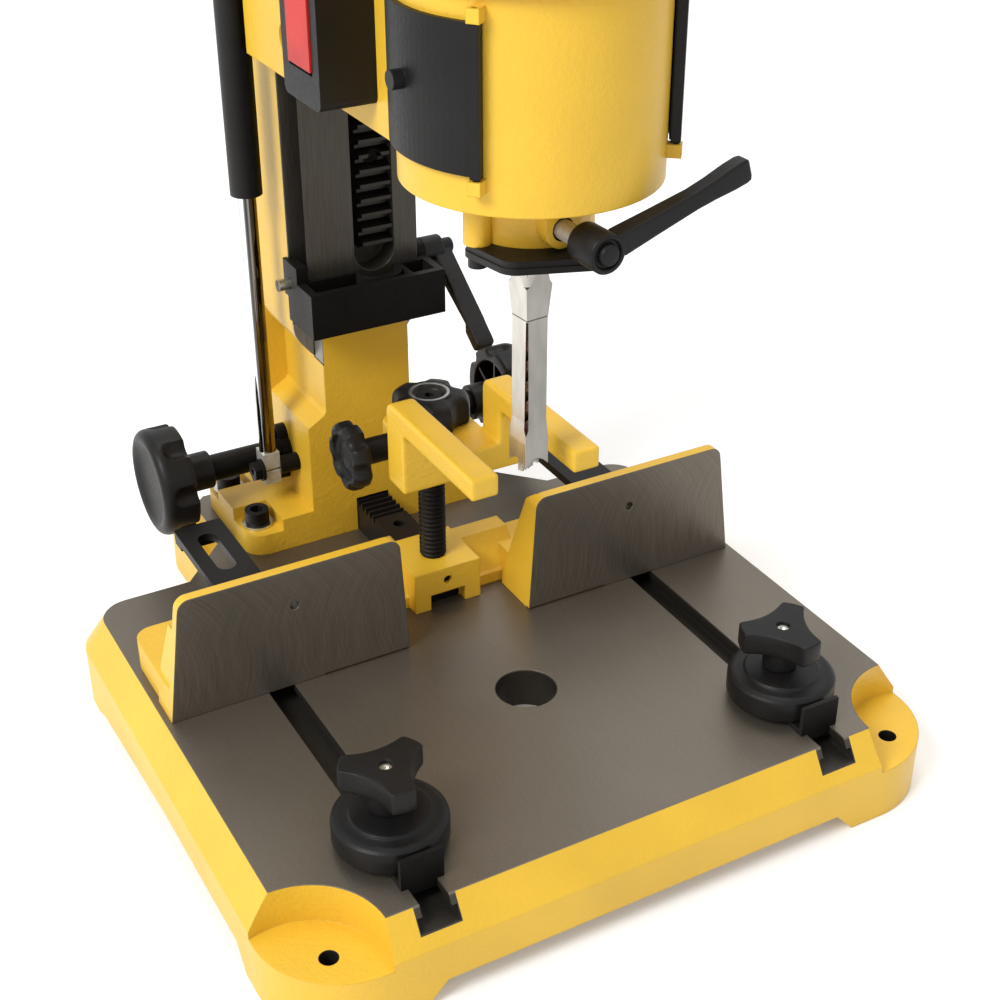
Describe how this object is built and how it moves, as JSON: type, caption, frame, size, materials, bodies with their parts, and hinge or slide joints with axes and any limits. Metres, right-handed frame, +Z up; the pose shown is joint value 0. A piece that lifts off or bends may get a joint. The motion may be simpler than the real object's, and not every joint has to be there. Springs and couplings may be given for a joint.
{
  "type": "hollow chisel mortiser",
  "caption": "Bench mortiser with a square chisel head on a dovetailed column, a geared fence with a fork hold-down, and hold-in wheels in a slotted table.",
  "frame": {"origin": "centre of the round hole in the table, where the chisel's axis meets the table's top", "axes": "+X to the operator's right, +Y from the operator back to the column, +Z up"},
  "size_m": [0.447, 0.503, 0.752],
  "materials": {
    "yellow_paint": "orange-peel enamel on iron castings",
    "black_steel": "black oxide",
    "black_plastic": "satin",
    "bright_steel": "ground",
    "zinc_steel": "zinc plated",
    "chrome_rod": "polished",
    "dark_iron": "machined",
    "red_plastic": "moulded"
  },
  "bodies": {
    "stand": {"base_casting": "yellow_paint", "column_casting": "yellow_paint", "column_bolts": "black_steel", "column_washers": "zinc_steel", "column_cap": "black_plastic", "head_rack": "dark_iron", "head_rack_screws": "black_steel", "strut_rod": "chrome_rod", "strut_clevis": "zinc_steel", "strut_bolt": "black_steel", "shaft_bushings": "black_steel", "tool_clip": "black_steel"},
    "fence_drive": {"fence_shaft": "black_steel", "fence_pinion": "bright_steel", "left_handwheel": "black_plastic", "right_handwheel": "black_plastic"},
    "fence": {"fence_casting": "yellow_paint", "fence_rack": "black_steel", "left_slotted_arm": "black_steel", "right_slotted_arm": "black_steel", "fence_screws": "black_steel", "holddown_post": "black_steel"},
    "hold_down": {"holddown_casting": "yellow_paint"},
    "lift_knob": {"holddown_knob": "black_plastic", "knob_ring": "zinc_steel"},
    "lock_knob": {"holddown_lock_knob": "black_plastic"},
    "left_hold_in": {"left_guide_bracket": "black_steel", "left_clamp_bolt": "zinc_steel"},
    "left_wheel": {"left_wheel": "black_plastic"},
    "left_knob": {"left_clamp_knob": "black_plastic"},
    "right_hold_in": {"right_guide_bracket": "black_steel", "right_clamp_bolt": "zinc_steel"},
    "right_wheel": {"right_wheel": "black_plastic"},
    "right_knob": {"right_clamp_knob": "black_plastic"},
    "depth_stop": {"stop_block": "black_steel", "stop_screw": "zinc_steel"},
    "stop_lever": {"stop_lever": "black_plastic"},
    "head": {"head_casting": "yellow_paint", "nose_plate": "black_steel", "head_screws": "black_steel", "hollow_chisel": "bright_steel", "gib": "bright_steel", "strut_cylinder": "black_steel", "cord_gland": "black_plastic", "motor_body": "yellow_paint", "motor_stator": "dark_iron", "motor_bearings": "bright_steel", "fan_cover": "black_plastic", "switch_box": "black_plastic"},
    "switch": {"switch_paddle": "red_plastic"},
    "spindle": {"spindle": "bright_steel", "cooling_fan": "black_plastic", "drill_chuck": "bright_steel", "auger_bit": "bright_steel"},
    "left_door": {"left_chuck_door": "black_plastic"},
    "right_door": {"right_chuck_door": "black_plastic"},
    "chisel_lever": {"chisel_clamp_lever": "black_plastic"},
    "feed": {"feed_shaft": "bright_steel", "feed_hub": "black_plastic", "feed_lever": "bright_steel"}
  },
  "joints": [
    {"name": "head_slide", "type": "slide", "parent": "stand", "child": "head", "axis": [0, 0, 1], "range_m": [-0.105, 0], "stiffness_N_per_m": 390, "springref_m": 1.2},
    {"name": "feed_turn", "type": "hinge", "parent": "head", "child": "feed", "pos_m": [0.1, 0.19343, 0.412], "axis": [1, 0, 0], "range_deg": [-2, 192]},
    {"name": "spindle_turn", "type": "hinge", "parent": "head", "child": "spindle", "pos_m": [0, 0, 0.47], "axis": [0, 0, 1], "continuous": true},
    {"name": "chisel_lever_turn", "type": "hinge", "parent": "head", "child": "chisel_lever", "pos_m": [-0.00559, -0.00027, 0.3195], "axis": [0.0488, -0.9988, 0], "range_deg": [-80, 7]},
    {"name": "left_door_turn", "type": "hinge", "parent": "head", "child": "left_door", "pos_m": [-0.05766, -0.0467, 0.4], "axis": [0, 0, 1], "range_deg": [0, 100]},
    {"name": "right_door_turn", "type": "hinge", "parent": "head", "child": "right_door", "pos_m": [0.05766, -0.0467, 0.4], "axis": [0, 0, 1], "range_deg": [-100, 0]},
    {"name": "switch_turn", "type": "hinge", "parent": "head", "child": "switch", "pos_m": [-0.074, 0.117, 0.418], "axis": [0, 1, 0], "range_deg": [-8, 18]},
    {"name": "stop_slide", "type": "slide", "parent": "stand", "child": "depth_stop", "axis": [0, 0, 1], "range_m": [-0.003, 0.03]},
    {"name": "stop_lever_turn", "type": "hinge", "parent": "depth_stop", "child": "stop_lever", "pos_m": [0.0615, 0.2324, 0.2007], "axis": [1, 0, 0], "range_deg": [-20, 65]},
    {"name": "fence_slide", "type": "slide", "parent": "stand", "child": "fence", "axis": [0, 1, 0], "range_m": [-0.06, 0.01]},
    {"name": "fence_drive_turn", "type": "hinge", "parent": "stand", "child": "fence_drive", "pos_m": [0, 0.27, 0.0524], "axis": [1, 0, 0], "range_deg": [-118, 23]},
    {"name": "hold_down_slide", "type": "slide", "parent": "fence", "child": "hold_down", "axis": [0, 0, 1], "range_m": [-0.065, 0]},
    {"name": "lift_knob_turn", "type": "hinge", "parent": "hold_down", "child": "lift_knob", "pos_m": [0, 0.127, 0.14], "axis": [0, 0, 1], "range_deg": [-6900, 30]},
    {"name": "lock_knob_turn", "type": "hinge", "parent": "hold_down", "child": "lock_knob", "pos_m": [-0.056, 0.127, 0.12], "axis": [1, 0, 0], "range_deg": [-180, 0]},
    {"name": "left_hold_in_slide", "type": "slide", "parent": "stand", "child": "left_hold_in", "axis": [0, 1, 0], "range_m": [-0.025, 0.045]},
    {"name": "left_wheel_turn", "type": "hinge", "parent": "left_hold_in", "child": "left_wheel", "pos_m": [-0.134, -0.08, 0.012], "axis": [0, 0, 1], "continuous": true},
    {"name": "left_knob_turn", "type": "hinge", "parent": "left_hold_in", "child": "left_knob", "pos_m": [-0.134, -0.08, 0.04], "axis": [0, 0, 1], "range_deg": [-180, 180]},
    {"name": "right_hold_in_slide", "type": "slide", "parent": "stand", "child": "right_hold_in", "axis": [0, 1, 0], "range_m": [-0.025, 0.045]},
    {"name": "right_wheel_turn", "type": "hinge", "parent": "right_hold_in", "child": "right_wheel", "pos_m": [0.134, -0.08, 0.012], "axis": [0, 0, 1], "continuous": true},
    {"name": "right_knob_turn", "type": "hinge", "parent": "right_hold_in", "child": "right_knob", "pos_m": [0.134, -0.08, 0.04], "axis": [0, 0, 1], "range_deg": [-180, 180]}
  ],
  "couplings": [
    {"joint": "feed_turn", "follows": "head_slide", "rad_per_m": -31.496},
    {"joint": "fence_drive_turn", "follows": "fence_slide", "rad_per_m": 33.333},
    {"joint": "lift_knob_turn", "follows": "hold_down_slide", "rad_per_m": 1848}
  ]
}
